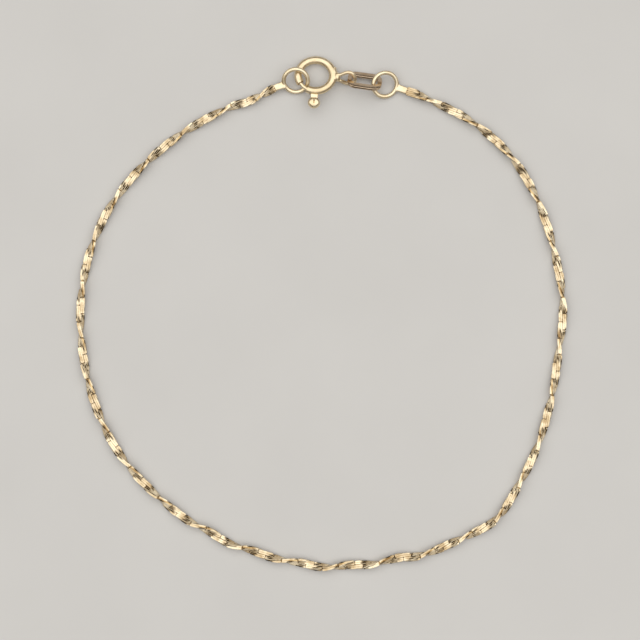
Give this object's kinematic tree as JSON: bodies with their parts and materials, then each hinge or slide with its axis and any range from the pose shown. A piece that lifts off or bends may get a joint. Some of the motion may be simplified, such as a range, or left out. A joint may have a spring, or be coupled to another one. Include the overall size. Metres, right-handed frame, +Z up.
{
  "type": "cobra chain bracelet with spring ring clasp",
  "caption": "Thin yellow gold bracelet of flat, twisted cobra chain, closed in a loop by a spring ring clasp, a slotted tag link and two end rings.",
  "frame": {"origin": "middle of the bracelet as it lies closed, on the surface that it rests on", "axes": "+Z up from the surface, +Y towards the clasp, +X to the right as seen from above with the clasp at the top"},
  "size_m": [0.0614, 0.0644, 0.0023],
  "materials": {
    "chain_gold": "polished yellow gold, bright flat links",
    "ring_gold": "polished yellow gold wire",
    "clasp_gold": "polished yellow gold",
    "tag_gold": "softly polished yellow gold, bare face"
  },
  "bodies": {
    "bracelet": {"cobra_chain_right": "chain_gold", "cobra_chain_left": "chain_gold", "end_ring_right": "ring_gold", "end_ring_left": "ring_gold", "spring_ring_case": "clasp_gold", "tag_link": "tag_gold"},
    "trigger": {"trigger_bolt": "clasp_gold"}
  },
  "joints": [
    {"name": "bolt_slide", "type": "hinge", "parent": "bracelet", "child": "trigger", "pos_m": [-0.00074, 0.02999, 0.00083], "axis": [0, 0.1994, 0.9799], "range_deg": [0, 36], "stiffness_Nm_per_rad": 0.0008}
  ]
}
